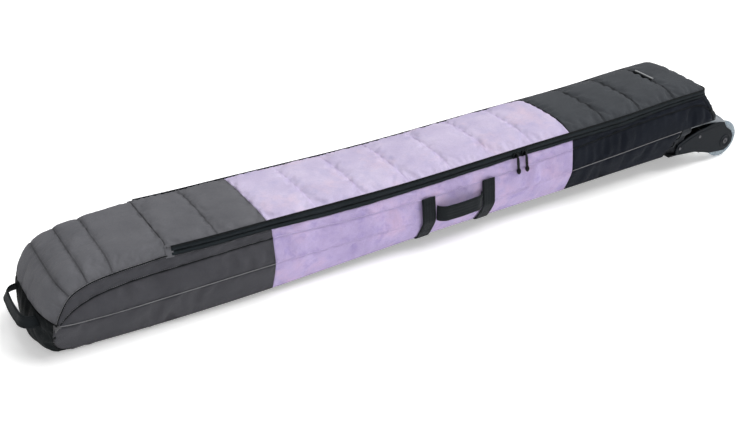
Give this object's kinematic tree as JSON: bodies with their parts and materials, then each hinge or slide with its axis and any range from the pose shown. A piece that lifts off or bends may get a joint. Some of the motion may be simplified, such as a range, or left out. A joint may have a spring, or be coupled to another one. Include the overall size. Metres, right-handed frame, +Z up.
{
  "type": "wheeled snowboard bag",
  "caption": "Long padded roller bag for a snowboard or skis, with a hinged zipped lid, sliders with pulls, webbing handles and a wheeled rear chassis.",
  "frame": {"origin": "middle of the underside of the flat base panel", "axes": "+X along the bag to the wheeled end, -Y to the side with the carry handle, +Z up out of the base"},
  "size_m": [1.996, 0.2722, 0.2605],
  "materials": {
    "grey_fabric": "padded woven polyester, quilted",
    "lilac_fabric": "padded woven polyester, quilted, faintly mottled",
    "black_fabric": "padded woven polyester, quilted",
    "reinforced_fabric": "coated woven tarpaulin",
    "board_plastic": "stiff moulded sheet",
    "zip_tape": "coated zip tape",
    "piping": "thin contrast piping",
    "webbing": "ribbed polyester webbing",
    "buckle_plastic": "moulded nylon",
    "chassis_plastic": "satin moulded nylon",
    "deck_plastic": "glossy moulded plastic",
    "steel": "zinc plated",
    "tab_webbing": "pale webbing",
    "wheel_tyre": "translucent polyurethane",
    "wheel_hub": "moulded plastic core",
    "slider_metal": "black zip slider",
    "pull_cord": "braided cord loop",
    "pull_rubber": "moulded pull end"
  },
  "bodies": {
    "bag": {"near_side_front": "grey_fabric", "far_side_front": "grey_fabric", "near_gusset_front": "grey_fabric", "far_gusset_front": "grey_fabric", "front_deck": "grey_fabric", "near_side_middle": "lilac_fabric", "far_side_middle": "lilac_fabric", "near_gusset_middle": "lilac_fabric", "far_gusset_middle": "lilac_fabric", "near_side_rear": "black_fabric", "far_side_rear": "black_fabric", "near_gusset_rear": "black_fabric", "far_gusset_rear": "black_fabric", "base_panel": "reinforced_fabric", "front_bumper": "reinforced_fabric", "rear_wall": "reinforced_fabric", "rear_floor": "reinforced_fabric", "base_board": "board_plastic", "zip_tape_body": "zip_tape", "near_piping": "piping", "far_piping": "piping", "handle_straps": "webbing", "retention_straps": "webbing", "strap_buckles": "buckle_plastic", "chassis_tray": "chassis_plastic", "near_cheek": "chassis_plastic", "far_cheek": "chassis_plastic", "near_inner_cheek": "chassis_plastic", "far_inner_cheek": "chassis_plastic", "chassis_deck": "deck_plastic", "near_axle": "steel", "far_axle": "steel", "axle_nuts": "steel", "cheek_screws": "steel"},
    "lid": {"lid_front": "grey_fabric", "lid_middle": "lilac_fabric", "lid_rear": "black_fabric", "zip_tape_lid": "zip_tape", "seam_tab": "tab_webbing"},
    "near_wheel": {"near_tyre": "wheel_tyre", "near_hub": "wheel_hub", "near_bearings": "steel"},
    "far_wheel": {"far_tyre": "wheel_tyre", "far_hub": "wheel_hub", "far_bearings": "steel"},
    "slider_a_body": {"slider_a": "slider_metal"},
    "slider_b_body": {"slider_b": "slider_metal"},
    "pull_a_body": {"pull_a": "pull_cord", "pull_end_a": "pull_rubber"},
    "pull_b_body": {"pull_b": "pull_cord", "pull_end_b": "pull_rubber"},
    "side_handle_body": {"side_handle": "webbing"},
    "front_handle_body": {"front_handle": "webbing"},
    "rear_handle_body": {"rear_handle": "webbing"}
  },
  "joints": [
    {"name": "lid_hinge", "type": "hinge", "parent": "bag", "child": "lid", "pos_m": [-0.645, 0, 0.202], "axis": [0, -1, 0], "range_deg": [0, 100]},
    {"name": "near_wheel_spin", "type": "hinge", "parent": "bag", "child": "near_wheel", "pos_m": [1.01, -0.099, -0.0065], "axis": [0, 1, 0], "continuous": true},
    {"name": "far_wheel_spin", "type": "hinge", "parent": "bag", "child": "far_wheel", "pos_m": [1.01, 0.099, -0.0065], "axis": [0, 1, 0], "continuous": true},
    {"name": "slider_a_slide", "type": "slide", "parent": "bag", "child": "slider_a_body", "axis": [-0.9999, 0, 0.0135], "range_m": [0, 0.86]},
    {"name": "slider_b_slide", "type": "slide", "parent": "bag", "child": "slider_b_body", "axis": [0.9999, 0, 0.01], "range_m": [0, 0.6]},
    {"name": "pull_a_swing", "type": "hinge", "parent": "slider_a_body", "child": "pull_a_body", "pos_m": [0.25, -0.1235, 0.156], "axis": [-1, 0, 0], "range_deg": [0, 120]},
    {"name": "pull_b_swing", "type": "hinge", "parent": "slider_b_body", "child": "pull_b_body", "pos_m": [0.276, -0.1235, 0.156], "axis": [-1, 0, 0], "range_deg": [0, 120]},
    {"name": "side_handle_lift", "type": "hinge", "parent": "bag", "child": "side_handle_body", "pos_m": [0.079, -0.128, 0.098], "axis": [-1, 0, 0], "range_deg": [0, 95]},
    {"name": "front_handle_swing", "type": "hinge", "parent": "bag", "child": "front_handle_body", "pos_m": [-0.9085, 0, 0.086], "axis": [0, 1, 0], "range_deg": [-40, 40]},
    {"name": "rear_handle_swing", "type": "hinge", "parent": "bag", "child": "rear_handle_body", "pos_m": [0.972, 0, 0.0845], "axis": [0, -1, 0], "range_deg": [-12, 60]}
  ]
}
